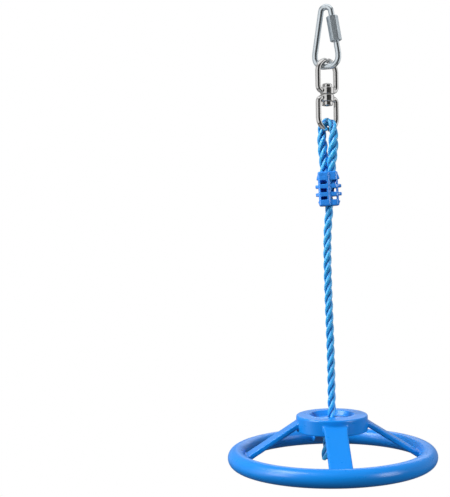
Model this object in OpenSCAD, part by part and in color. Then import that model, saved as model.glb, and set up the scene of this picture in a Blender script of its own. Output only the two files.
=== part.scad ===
// Hanging spinning wheel swing: a pear-shaped quick link, a double-eye
// swivel, a laid rope with a clamped eye, and a moulded wheel grip.
// Millimetres. +Z is up, +X is right and -Y is the front.
// The origin is the inside of the quick link's top bend, where it hangs.

/* [Quick link] */
// Diameter of the quick link's rod
link_rod_d = 7; // [6.6:0.1:7.2]
// Width of the quick link over its lower end
link_w = 35.7; // [35:0.1:37]
// Depth from the hanging point to the middle of the bottom bar
link_depth = 67.5; // [66:0.5:70]
// Radius of the top bend, on the rod's middle line
link_top_r = 6.3; // [6:0.1:6.6]
// Turn of the link about the vertical
link_yaw = -15; // [-20:1:-5]
// Across flats of the screw sleeve
sleeve_af = 12.5; // [12:0.1:12.8]
// Length of the screw sleeve
sleeve_len = 30; // [28:0.5:31]

/* [Swivel] */
// Diameter of the eyes' rod
eye_rod_d = 6.5; // [6:0.1:6.6]
// Outside width of each eye
eye_w = 34; // [33:0.5:35]
// Turn of the upper eye about the vertical
eye_yaw = 40; // [35:1:45]
// Diameter of the bosses that the pin passes through
boss_d = 16.6; // [16:0.1:17]
// Diameter of the swivel pin
pin_d = 6.2; // [6:0.1:6.3]

/* [Rope] */
// Diameter of the rope's plain solids
rope_d = 9.8; // [9.4:0.1:10]

/* [Clamp] */
// Width of the clamp's body
clamp_w = 23.5; // [23.4:0.1:24]
// Thickness of the clamp's body, front to back
clamp_t = 21.6; // [21.2:0.1:22]

/* [Wheel] */
// Outside diameter of the wheel
wheel_d = 250; // [248:1:252]
// Diameter of the rim's round section
rim_d = 20.8; // [20.6:0.1:21.2]
// Diameter of the hub
hub_d = 85.5; // [84:0.5:87]
// Height of the hub's wall
hub_h = 19; // [18.5:0.5:20]
// Width of each spoke
spoke_w = 26.5; // [24:0.5:28]
// Thickness of each spoke
spoke_t = 6; // [5.5:0.1:6.2]
// Turn of the spokes about the vertical
wheel_yaw = 5.6; // [0:0.1:10]

/* [Hidden] */
$fn = 64;
eps = 0.01;
rod_lap = 0.4;
rod_step = 0.03;

zinc = [0.74, 0.77, 0.80];
stainless = [0.62, 0.62, 0.63];
rope_blue = [0.05, 0.42, 0.86];
clamp_blue = [0.06, 0.30, 0.78];
wheel_blue = [0.05, 0.47, 0.92];

// quick link, drawn in its own plane: x across, y up
link_r = link_rod_d / 2;
link_hw = link_w / 2 - link_r;         // half width on the middle line
link_top_c = link_r - link_top_r;      // height of the top bend's centre
link_corner_r = 11;
link_ease_r = 25;
link_corner_y = -link_depth + link_corner_r;
link_ease_y = link_corner_y + 2;
// the straight legs are tangent to the top bend and to the easing bend
ease_cx = link_hw - link_ease_r;
leg_drop = link_top_c - link_ease_y;
leg_slant = asin((link_ease_r - link_top_r) / sqrt(leg_drop * leg_drop + ease_cx * ease_cx))
    - atan2(-ease_cx, leg_drop);
leg_x0 = link_top_r * cos(leg_slant);
leg_y0 = link_top_c + link_top_r * sin(leg_slant);
leg_x1 = ease_cx + link_ease_r * cos(leg_slant);
leg_y1 = link_ease_y + link_ease_r * sin(leg_slant);
leg_len = sqrt((leg_x1 - leg_x0) * (leg_x1 - leg_x0) + (leg_y1 - leg_y0) * (leg_y1 - leg_y0));
sleeve_s = 6.5;                        // sleeve's top, down the leg
stub_s = 9.2;                          // end of the upper threaded stub
gap_s = 17.2;                          // start of the lower threaded stub

// swivel
eye_r = eye_rod_d / 2;
eye_hw = eye_w / 2 - eye_r;
eye_top = -link_depth + link_r + 0.3 + eye_r;
joint_z = -101;
boss_gap = 0.3;
boss_h = 8.1;
eye_corner_r = 5;
eye_corner_z = -91.4;
lower_bar_z = -142.25;
pin_r = pin_d / 2;

// rope
rope_r = rope_d / 2;
bend_z = -457;                         // upper bending point of the rope's neck
tilt_z = -471;                         // lower bending point, above the hub
// the eye loop: up the back leg, over the swivel's bar, down the front leg
LOOP = [
    [-5.3, 2.6, -206], [-5.3, 2.6, -199], [-5.1, 2.6, -192], [-5.1, 2.75, -184],
    [-5.5, 3.1, -176], [-6, 3.7, -168], [-6.5, 4.25, -160], [-6.9, 4.8, -153],
    [-6.95, 5.25, -147], [-6.95, 5.4, -142.25], [-6.4, 5, -138.9], [-4.9, 3.85, -136.1],
    [-2.65, 2.05, -134.2], [0, 0, -133.5], [2.65, -2.05, -134.2], [4.9, -3.85, -136.1],
    [6.4, -5, -138.9], [6.95, -5.4, -142.25], [6.95, -5.25, -147], [6.9, -4.8, -153],
    [6.5, -4.25, -160], [6, -3.7, -168], [5.1, -3.1, -176], [4.3, -2.75, -184],
    [3.9, -2.6, -192], [3.9, -2.6, -200]
];
STANDING = [
    [3.9, -2.6, -200.2], [3.4, -2.6, -207], [2, -2, -214], [1, -1, -221],
    [0.6, -0.2, -228], [0.75, 0, -234], [0.2, 0, -241], [-0.8, 0, -252], [-1.8, 0, -266],
    [-2.4, 0, -285], [-2.5, 0, -310], [-2, 0, -340], [-1.2, 0, -370],
    [-0.5, 0, -400], [-0.1, 0, -430], [0, 0, -451.8]
];
TAIL = [[-6, 1, -517.7], [-7.2, 1.3, -524], [-8.3, 1.5, -531], [-8.8, 1.6, -536.8]];

// clamp
clamp_mid = -213.5;
clamp_lean = 2.5;
clamp_top = -193;
clamp_bottom = -234;
clamp_rows = [[-208.1, -203.3], [-217.7, -212.9], [-226.6, -222.5]];

// wheel
rim_r = rim_d / 2;
rim_R = wheel_d / 2 - rim_r;
rim_z = -531.8;
hub_r = hub_d / 2;
hub_top = -482.8;
spoke_slope = 32.3;
spoke_x0 = 44;
spoke_z0 = -491.7;

// ---------- shared shapes ----------

// a bend of round rod in the xy plane, from angle a0 to a1
module bend(R, r, a0, a1) {
    rotate([0, 0, a0]) rotate_extrude(angle = a1 - a0) translate([R, 0]) circle(r);
}

// a straight round rod in the xy plane, from p along direction a; it runs
// a little way into the bend at its start, and at its end where over is 1
module rod(p, a, len, r, over = 1) {
    translate([p[0], p[1], 0]) rotate([0, 0, a]) translate([-rod_lap, 0, 0])
        rotate([0, 90, 0]) cylinder(r = r - rod_step, h = len + rod_lap * (1 + over));
}

// puts a shape drawn in the xy plane upright, x across and y up
module upright(yaw) {
    rotate([0, 0, yaw]) rotate([90, 0, 0]) children();
}

function unit(v) = v / norm(v);
function way(p, i) = unit(p[min(i + 1, len(p) - 1)] - p[max(i - 1, 0)]);

// a plain tube along a route
module tube(p, r, sides, side_way) {
    n = len(p);
    pts = [for (i = [0 : n - 1])
        let (t = way(p, i), u = unit(cross(t, side_way)), v = cross(t, u))
        for (k = [0 : sides - 1]) p[i] + r * (cos(360 * k / sides) * u + sin(360 * k / sides) * v)];
    faces = concat(
        [[for (k = [0 : sides - 1]) k]],
        [for (i = [0 : n - 2]) for (k = [0 : sides - 1])
            [i * sides + k, (i + 1) * sides + k, (i + 1) * sides + (k + 1) % sides, i * sides + (k + 1) % sides]],
        [[for (k = [sides - 1 : -1 : 0]) (n - 1) * sides + k]]
    );
    polyhedron(points = pts, faces = faces, convexity = 6);
}

// a flat rectangle with round corners
module round_rect(w, d, r) {
    square([w - 2 * r, d], center = true);
    square([w, d - 2 * r], center = true);
    for (x = [-1, 1]) for (y = [-1, 1]) translate([x * (w / 2 - r), y * (d / 2 - r)]) circle(r);
}

// a turned disc with rounded edges: bottom fillet f0, top fillet f1
module rounded_disc(r, h, f0, f1) {
    rotate_extrude() {
        translate([0, f0]) square([r, h - f0 - f1]);
        square([r - f0, h - eps]);
        translate([0, eps]) square([r - f1, h - eps]);
        intersection() {
            union() {
                translate([r - f0, f0]) circle(f0);
                translate([r - f1, h - f1]) circle(f1);
            }
            square([r, h]);
        }
    }
}

// ---------- quick link ----------

// one side of the link, from the top bend to the bottom bar; the leg that
// carries the screw sleeve has a gap between its two threaded stubs
module link_side(gap) {
    if (gap) {
        rod([leg_x0, leg_y0], -90 + leg_slant, stub_s, link_r, 0);
        rod([leg_x1, leg_y1], 90 + leg_slant, leg_len - gap_s, link_r, 0);
    } else {
        rod([leg_x0, leg_y0], -90 + leg_slant, leg_len, link_r);
    }
    translate([ease_cx, link_ease_y, 0]) bend(link_ease_r, link_r, 0, leg_slant);
    rod([link_hw, link_corner_y], 90, link_ease_y - link_corner_y, link_r);
    translate([link_hw - link_corner_r, link_corner_y, 0]) bend(link_corner_r, link_r, -90, 0);
}

module quick_link_body() {
    color(zinc) upright(link_yaw) {
        translate([0, link_top_c, 0]) bend(link_top_r, link_r, leg_slant, 180 - leg_slant);
        link_side(true);
        mirror([1, 0, 0]) link_side(false);
        rod([link_corner_r - link_hw, -link_depth], 0, 2 * (link_hw - link_corner_r), link_r);
    }
}

module quick_link_sleeve() {
    corner = sleeve_af / sqrt(3);
    color(zinc) upright(link_yaw)
        translate([leg_x0 + sleeve_s * sin(leg_slant), leg_y0 - sleeve_s * cos(leg_slant), 0])
        rotate([0, 0, leg_slant]) rotate([90, 0, 0])
        difference() {
            intersection() {
                rotate([0, 0, link_yaw]) cylinder(r = corner, h = sleeve_len, $fn = 6);
                rotate_extrude() polygon([[0, 0], [corner - 0.95, 0], [corner + 0.05, 0.6],
                    [corner + 0.05, sleeve_len - 0.6], [corner - 0.95, sleeve_len], [0, sleeve_len]]);
            }
            translate([0, 0, -1]) cylinder(r = link_r + 0.05, h = sleeve_len + 2);
            translate([0, 0, -1]) cylinder(r1 = link_r + 1.6, r2 = link_r + 0.05, h = 1.5);
            translate([0, 0, sleeve_len - 0.5]) cylinder(r1 = link_r + 0.05, r2 = link_r + 1.6, h = 1.5);
        }
}

// ---------- swivel ----------

// one eye, arch up, its boss ending at the joint plane; y is up
module eye(arch_y, corner_y, bore_r) {
    top_y = joint_z + boss_gap + boss_h;
    difference() {
        union() {
            upright(0) {
                translate([0, arch_y - eye_hw, 0]) bend(eye_hw, eye_r, 0, 180);
                for (s = [0, 1]) mirror([s, 0, 0]) {
                    rod([eye_hw, corner_y], 90, arch_y - eye_hw - corner_y, eye_r);
                    translate([eye_hw - eye_corner_r, corner_y, 0]) bend(eye_corner_r, eye_r, -75, 0);
                    rod([eye_hw - eye_corner_r + eye_corner_r * cos(75), corner_y - eye_corner_r * sin(75)],
                        180 + 15, 4.6, eye_r, 0);
                }
            }
            translate([0, 0, joint_z + boss_gap]) rounded_disc(boss_d / 2, boss_h, 0.8, 0.8);
        }
        translate([0, 0, joint_z - 5]) cylinder(r = bore_r, h = 20);
    }
}

module swivel_upper_eye() {
    color(stainless) rotate([0, 0, eye_yaw]) eye(eye_top, eye_corner_z, pin_r + 0.02);
}

module swivel_lower_eye() {
    color(stainless) rotate([0, 0, eye_yaw]) translate([0, 0, 2 * joint_z]) mirror([0, 0, 1])
        eye(2 * joint_z - lower_bar_z, eye_corner_z, pin_r + 0.07);
}

module swivel_pin() {
    head_z = joint_z + boss_gap + boss_h;
    foot_z = joint_z - boss_gap - boss_h - 0.3 - 4.5;
    color(stainless) {
        translate([0, 0, head_z]) rounded_disc(6.15, 5.4, 0.4, 1.8);
        translate([0, 0, foot_z]) cylinder(r = pin_r, h = head_z - foot_z + 1);
        translate([0, 0, foot_z - 0.7]) cylinder(r1 = pin_r - 0.9, r2 = pin_r, h = 0.7);
    }
}

module swivel_collar() {
    color(stainless) translate([0, 0, joint_z - boss_gap - boss_h - 0.3 - 4.5]) difference() {
        rounded_disc(6.7, 4.5, 0.7, 0.4);
        translate([0, 0, -1]) cylinder(r = pin_r + 0.02, h = 7);
    }
}

// ---------- rope ----------

module rope_eye_loop() {
    color(rope_blue) tube(LOOP, rope_r, 12, [0.55, 0.83, 0]);
}

module rope_standing() {
    color(rope_blue) tube(STANDING, rope_r, 12, [0, 1, 0]);
}

module rope_neck() {
    color(rope_blue) {
        translate([0, 0, bend_z]) sphere(rope_r);
        translate([0, 0, tilt_z + rope_r + 0.3]) cylinder(r = rope_r, h = bend_z - tilt_z - rope_r - 0.3);
    }
}

module rope_through_hub() {
    color(rope_blue) {
        translate([0, 0, tilt_z]) sphere(rope_r);
        translate([0, 0, hub_top - 12.4]) cylinder(r = rope_r, h = tilt_z - hub_top + 12.4);
    }
}

module rope_stopper_knot() {
    color(rope_blue) translate([0, 0, -517.6]) rounded_disc(13.6, 22.3, 7, 7);
}

module rope_tail() {
    color(rope_blue) tube(TAIL, rope_r, 12, [0, 1, 0]);
}

// ---------- clamp ----------

module clamp_band(w, d, r, z0, z1) {
    translate([0, 0, z0]) linear_extrude(z1 - z0) round_rect(w, d, r);
}

// a band whose sides lean in towards its outer end, z1
module clamp_shoulder(w, d, r, z0, z1, lean) {
    dir = z1 > z0 ? 1 : -1;
    difference() {
        clamp_band(w, d, r, min(z0, z1), max(z0, z1));
        for (s = [-1, 1]) translate([s * w / 2, 0, z0]) rotate([0, -s * dir * lean, 0])
            translate([s > 0 ? 0 : -12, -20, dir > 0 ? 0.8 : -24.8]) cube([12, 40, 24]);
    }
}

// one half shell; side is -1 for the front and 1 for the back
module clamp_half(side) {
    color(clamp_blue) translate([0, 0, clamp_mid]) rotate([0, -clamp_lean, 0]) translate([0, 0, -clamp_mid]) difference() {
        union() {
            clamp_band(clamp_w, clamp_t - 3.6, 4, clamp_bottom + 0.6, clamp_top - 0.6);
            // the raised panel round the rope, over the left half
            translate([-5.05, side * (clamp_t / 4), 0]) clamp_band(13.9, clamp_t / 2, 2.6, clamp_bottom, clamp_top);
            clamp_shoulder(28.4, clamp_t - 4.4, 7, clamp_rows[0][1] + 0.8, clamp_top, 22);
            clamp_shoulder(27.2, clamp_t - 4.4, 7, clamp_rows[2][0] - 1.2, clamp_bottom, 26);
            clamp_band(31, clamp_t - 6, 6, clamp_rows[1][1] + 0.4, clamp_rows[0][0] - 0.4);
            clamp_band(31, clamp_t - 6, 6, clamp_rows[2][1] + 0.4, clamp_rows[1][0] - 0.4);
        }
        // the space for the rope, and the hole it leaves by
        clamp_band(20.8, 15.4, 6, clamp_bottom + 4.5, clamp_top + 1);
        translate([0, 0, clamp_bottom - 1]) cylinder(r = 5.4, h = 7);
        // the windows; those on the right go right through
        for (row = clamp_rows) {
            translate([2.5, side > 0 ? 6 : -14, row[0]]) cube([7.3, 8, row[1] - row[0]]);
            if (side < 0) translate([-9.5, -14, row[0]]) cube([7.7, 8, row[1] - row[0]]);
        }
        // the other half's share
        translate([-20, side > 0 ? -30 : -0.02, clamp_bottom - 5]) cube([40, 30.02, clamp_top - clamp_bottom + 10]);
    }
}

module rope_clamp_front() { clamp_half(-1); }
module rope_clamp_back() { clamp_half(1); }

// ---------- wheel ----------

module wheel_hub() {
    tube_end = -12;
    color(wheel_blue) translate([0, 0, hub_top]) rotate([0, 0, wheel_yaw]) {
        rotate_extrude() polygon([
            [5.4, -2.9], [6.6, -2.6], [20.6, -5.4], [22.6, -5.6], [26.9, 0], [hub_r - 1.6, 0],
            [hub_r, -1.6], [hub_r, -hub_h], [hub_r - 3.2, -hub_h], [hub_r - 3.2, -4.2],
            [29, -4.2], [25, -9], [9.5, -8.6], [9.5, tube_end], [5.4, tube_end]
        ]);
        // stiffening ribs underneath, from the rope tube to the wall
        for (a = [0 : 45 : 315]) rotate([0, 0, a]) rotate([90, 0, 0]) translate([0, 0, -1.1])
            linear_extrude(2.2) polygon([
                [9.3, -8.4], [25, -8.8], [29, -4], [hub_r - 3, -4], [hub_r - 3, -13], [16.4, -13],
                [14.6, -11.6], [9.3, -11.6]
            ]);
    }
}

module wheel_rim() {
    color(wheel_blue) translate([0, 0, rim_z]) rotate_extrude() translate([rim_R, 0]) circle(rim_r);
}

module spoke(a) {
    w = spoke_w / 2;
    t = spoke_t;
    c = 0.9;
    reach = (rim_R - spoke_x0) * cos(spoke_slope) - (rim_z - spoke_z0) * sin(spoke_slope);
    color(wheel_blue) rotate([0, 0, wheel_yaw + a]) difference() {
        translate([spoke_x0, 0, spoke_z0]) rotate([0, spoke_slope, 0]) translate([-9, 0, 0])
            rotate([90, 0, 90]) linear_extrude(reach + 9) polygon([
                [-w + c, 0], [-w, -c], [-w, c - t], [-w + c, -t],
                [w - c, -t], [w, c - t], [w, -c], [w - c, 0]
            ]);
        translate([0, 0, -520]) cylinder(r = hub_r, h = 60);
        translate([0, 0, rim_z]) rotate_extrude() translate([rim_R, 0]) circle(rim_r);
    }
}

module wheel_spoke_front() { spoke(-90); }
module wheel_spoke_right() { spoke(0); }
module wheel_spoke_back() { spoke(90); }
module wheel_spoke_left() { spoke(180); }

quick_link_body();
quick_link_sleeve();
swivel_upper_eye();
swivel_pin();
swivel_collar();
swivel_lower_eye();
rope_eye_loop();
rope_standing();
rope_clamp_front();
rope_clamp_back();
rope_neck();
rope_through_hub();
rope_stopper_knot();
rope_tail();
wheel_hub();
wheel_rim();
wheel_spoke_front();
wheel_spoke_right();
wheel_spoke_back();
wheel_spoke_left();
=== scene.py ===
"""Looks of the hanging wheel swing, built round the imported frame. Shapes are worked out in millimetres and stored in metres."""

import math

import bmesh
import bpy
import numpy as np
from mathutils import Matrix, Vector


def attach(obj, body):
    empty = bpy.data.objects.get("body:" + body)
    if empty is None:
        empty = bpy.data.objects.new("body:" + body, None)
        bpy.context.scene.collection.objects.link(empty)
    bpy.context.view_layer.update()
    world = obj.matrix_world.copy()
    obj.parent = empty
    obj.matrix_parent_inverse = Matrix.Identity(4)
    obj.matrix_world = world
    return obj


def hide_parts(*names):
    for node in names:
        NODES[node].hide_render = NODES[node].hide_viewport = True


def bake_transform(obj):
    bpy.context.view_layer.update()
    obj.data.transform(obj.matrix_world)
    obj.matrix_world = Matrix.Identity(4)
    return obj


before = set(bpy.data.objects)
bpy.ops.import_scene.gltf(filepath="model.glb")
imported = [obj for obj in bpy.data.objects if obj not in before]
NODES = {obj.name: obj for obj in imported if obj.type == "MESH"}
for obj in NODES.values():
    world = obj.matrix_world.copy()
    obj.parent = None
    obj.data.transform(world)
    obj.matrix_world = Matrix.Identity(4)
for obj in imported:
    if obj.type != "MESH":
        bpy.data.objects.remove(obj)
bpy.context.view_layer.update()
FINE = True
MM = 0.001

# ---------------------------------------------------------------- sizes, as in the CAD model

LINK_YAW, LINK_R = -15.0, 3.5
LINK_HW, LINK_TOP_C, LINK_TOP_R = 14.35, -2.8, 6.3
LINK_DEPTH, LINK_CORNER_R, LINK_EASE_R = 67.5, 11.0, 25.0
SLEEVE_AF, SLEEVE_LEN, SLEEVE_S, STUB_S, GAP_S = 12.5, 30.0, 6.5, 9.2, 17.2
EYE_YAW, EYE_R, EYE_HW = 40.0, 3.25, 13.75
EYE_TOP, JOINT_Z, BOSS_GAP, BOSS_H, BOSS_R = -60.45, -101.0, 0.3, 8.1, 8.3
EYE_CORNER_Z, EYE_CORNER_R, LOWER_BAR_Z = -91.4, 5.0, -142.25
RIM_R, RIM_TUBE, RIM_Z = 114.6, 10.4, -531.8
HUB_R, HUB_TOP, HUB_H = 42.75, -482.8, 19.0
SPOKE_W, SPOKE_T, SPOKE_SLOPE, SPOKE_X0, SPOKE_Z0 = 26.5, 6.0, 32.3, 44.0, -491.7
WHEEL_YAW = 5.6
ROPE_PITCH = 41.0

# ---------------------------------------------------------------- camera


def make_camera():
    data = bpy.data.cameras.new("Camera")
    cam = bpy.data.objects.new("Camera", data)
    bpy.context.scene.collection.objects.link(cam)
    data.lens = 952.0 * 36.0 / 497.0
    data.sensor_width = 36.0
    data.shift_x = -60.0 / 497.0
    data.clip_start, data.clip_end = 0.05, 50
    pan, pitch, roll = math.radians(2.67), math.radians(-0.37), math.radians(-0.87)
    f = Vector((-math.sin(pan) * math.cos(pitch), math.cos(pan) * math.cos(pitch), math.sin(pitch)))
    r = f.cross(Vector((0, 0, 1))).normalized()
    u = r.cross(f)
    c, s = math.cos(roll), math.sin(roll)
    r, u = c * r + s * u, c * u - s * r
    cam.matrix_world = Matrix(
        (
            (r.x, u.x, -f.x, 0.0),
            (r.y, u.y, -f.y, -1.1384),
            (r.z, u.z, -f.z, -0.2765),
            (0, 0, 0, 1),
        )
    )
    bpy.context.scene.camera = cam
    return cam


make_camera()

# ---------------------------------------------------------------- mesh helpers


def to_object(name, verts, faces, angle=None, uv=None):
    """A mesh object from points in mm. angle: edges sharper than this stay sharp."""
    mesh = bpy.data.meshes.new(name)
    mesh.from_pydata((np.asarray(verts, float) * MM).tolist(), [], [list(map(int, f)) for f in faces])
    if uv is not None:
        layer = mesh.uv_layers.new(name="UVMap")
        loops = np.zeros(len(mesh.loops), np.int32)
        mesh.loops.foreach_get("vertex_index", loops)
        layer.data.foreach_set("uv", np.asarray(uv, np.float32)[loops].ravel())
    mesh.validate()
    mesh.update()
    mesh.shade_smooth()
    if angle is not None:
        mesh.set_sharp_from_angle(angle=math.radians(angle))
    ob = bpy.data.objects.new(name, mesh)
    bpy.context.scene.collection.objects.link(ob)
    return ob


def fix_normals(ob):
    bm = bmesh.new()
    bm.from_mesh(ob.data)
    bmesh.ops.recalc_face_normals(bm, faces=bm.faces)
    bm.to_mesh(ob.data)
    bm.free()
    ob.data.update()


def round_path(points, step):
    """A smooth line through control points, resampled at about step mm (centripetal Catmull-Rom)."""
    p = np.asarray(points, float)
    p = np.vstack([2 * p[0] - p[1], p, 2 * p[-1] - p[-2]])
    out = []
    for i in range(1, len(p) - 2):
        p0, p1, p2, p3 = p[i - 1], p[i], p[i + 1], p[i + 2]
        t0 = 0.0
        t1 = t0 + max(np.linalg.norm(p1 - p0), 1e-6) ** 0.5
        t2 = t1 + max(np.linalg.norm(p2 - p1), 1e-6) ** 0.5
        t3 = t2 + max(np.linalg.norm(p3 - p2), 1e-6) ** 0.5
        t = np.linspace(t1, t2, 24, endpoint=False)[:, None]
        a1 = (t1 - t) / (t1 - t0) * p0 + (t - t0) / (t1 - t0) * p1
        a2 = (t2 - t) / (t2 - t1) * p1 + (t - t1) / (t2 - t1) * p2
        a3 = (t3 - t) / (t3 - t2) * p2 + (t - t2) / (t3 - t2) * p3
        b1 = (t2 - t) / (t2 - t0) * a1 + (t - t0) / (t2 - t0) * a2
        b2 = (t3 - t) / (t3 - t1) * a2 + (t - t1) / (t3 - t1) * a3
        out.append((t2 - t) / (t2 - t1) * b1 + (t - t1) / (t2 - t1) * b2)
    return resample(np.vstack(out + [p[-2][None]]), step)


def resample(line, step):
    d = np.concatenate([[0], np.cumsum(np.linalg.norm(np.diff(line, axis=0), axis=1))])
    n = max(2, int(round(d[-1] / step)) + 1)
    s = np.linspace(0, d[-1], n)
    return np.stack([np.interp(s, d, line[:, k]) for k in range(3)], 1)


def tangents(line):
    t = np.gradient(line, axis=0)
    return t / np.linalg.norm(t, axis=1)[:, None]


def frames(line, first):
    """Parallel-transport frames (tangent, u, v), starting with u near first."""
    t = tangents(line)
    u = np.zeros_like(line)
    u[0] = np.asarray(first, float) - np.dot(first, t[0]) * t[0]
    u[0] /= np.linalg.norm(u[0])
    for i in range(1, len(line)):
        a = u[i - 1] - np.dot(u[i - 1], t[i]) * t[i]
        u[i] = a / np.linalg.norm(a)
    return t, u, np.cross(t, u)


def tube_faces(rings, sides, base=0, caps=True):
    faces = []
    for i in range(rings - 1):
        for k in range(sides):
            a, b = base + i * sides + k, base + i * sides + (k + 1) % sides
            faces.append((a, b, b + sides, a + sides))
    if caps:
        faces.append([base + k for k in range(sides - 1, -1, -1)])
        faces.append([base + (rings - 1) * sides + k for k in range(sides)])
    return faces


def lathe(profile, sides=96):
    """A closed turned solid about Z from a closed (r, z) outline; points at r = 0 become poles."""
    verts, faces, ring = [], [], []
    for r, z in profile:
        if r < 1e-6:
            ring.append([len(verts)])
            verts.append((0, 0, z))
        else:
            ring.append(list(range(len(verts), len(verts) + sides)))
            verts += [
                (r * math.cos(2 * math.pi * k / sides), r * math.sin(2 * math.pi * k / sides), z)
                for k in range(sides)
            ]
    n = len(ring)
    for i in range(n):
        a, b = ring[i], ring[(i + 1) % n]
        if len(a) == 1 and len(b) == 1:
            continue
        for k in range(sides):
            q = (k + 1) % sides
            if len(a) == 1:
                faces.append((a[0], b[q], b[k]))
            elif len(b) == 1:
                faces.append((a[k], a[q], b[0]))
            else:
                faces.append((a[k], a[q], b[q], b[k]))
    return verts, faces


def soften(points, radii, segments=5):
    """Rounds the corners of a closed outline, each by its own radius."""
    out = []
    n = len(points)
    for i in range(n):
        p = np.array(points[i], float)
        a = np.array(points[i - 1], float) - p
        b = np.array(points[(i + 1) % n], float) - p
        la, lb = np.linalg.norm(a), np.linalg.norm(b)
        a, b = a / la, b / lb
        r = radii[i] if hasattr(radii, "__len__") else radii
        turn = math.acos(max(-1, min(1, float(np.dot(a, b)))))
        if r <= 0 or turn > math.pi - 0.02:
            out.append(tuple(p))
            continue
        cut = min(r / math.tan(turn / 2), 0.48 * la, 0.48 * lb)
        r = cut * math.tan(turn / 2)
        mid = (a + b) / np.linalg.norm(a + b)
        c = p + mid * (r / math.sin(turn / 2))
        s, e = p + a * cut, p + b * cut
        a0 = math.atan2(s[1] - c[1], s[0] - c[0])
        a1 = math.atan2(e[1] - c[1], e[0] - c[0])
        d = (a1 - a0 + math.pi) % (2 * math.pi) - math.pi
        for k in range(segments + 1):
            w = a0 + d * k / segments
            out.append((c[0] + r * math.cos(w), c[1] + r * math.sin(w)))
    return out


# ---------------------------------------------------------------- solids by distance functions


def smin(a, b, k):
    h = np.clip(0.5 + 0.5 * (b - a) / k, 0, 1)
    return b * (1 - h) + a * h - k * h * (1 - h)


def smax(a, b, k):
    return -smin(-a, -b, k)


def outline_distance(x, y, pts):
    """Signed distance to a closed outline, negative inside."""
    x, y = np.asarray(x, np.float32), np.asarray(y, np.float32)
    best = np.full(np.broadcast(x, y).shape, 1e18, np.float32)
    inside = np.zeros(best.shape, bool)
    n = len(pts)
    for i in range(n):
        ax, ay = pts[i]
        bx, by = pts[(i + 1) % n]
        ex, ey = bx - ax, by - ay
        wx, wy = x - ax, y - ay
        t = np.clip((wx * ex + wy * ey) / (ex * ex + ey * ey + 1e-12), 0, 1)
        best = np.minimum(best, (wx - ex * t) ** 2 + (wy - ey * t) ** 2)
        if ay != by:
            cross = ((ay > y) != (by > y)) & (x < (bx - ax) * (y - ay) / (by - ay) + ax)
            inside ^= cross
    d = np.sqrt(best)
    return np.where(inside, -d, d)


class Table:
    """A signed distance on a fine (r, z) grid, read back by bilinear interpolation."""

    def __init__(self, pts, lo, hi, h):
        self.lo, self.h = lo, h
        xs = np.arange(lo[0], hi[0] + h, h, dtype=np.float32)
        ys = np.arange(lo[1], hi[1] + h, h, dtype=np.float32)
        self.f = outline_distance(xs[:, None], ys[None, :], pts).astype(np.float32)
        self.n = self.f.shape

    def __call__(self, x, y):
        gx = (x - self.lo[0]) / self.h
        gy = (y - self.lo[1]) / self.h
        cx = np.clip(gx, 0, self.n[0] - 1.001)
        cy = np.clip(gy, 0, self.n[1] - 1.001)
        i, j = cx.astype(np.int32), cy.astype(np.int32)
        u, v = cx - i, cy - j
        f = self.f
        d = (f[i, j] * (1 - u) + f[i + 1, j] * u) * (1 - v) + (f[i, j + 1] * (1 - u) + f[i + 1, j + 1] * u) * v
        return d + np.hypot(gx - cx, gy - cy) * self.h


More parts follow.
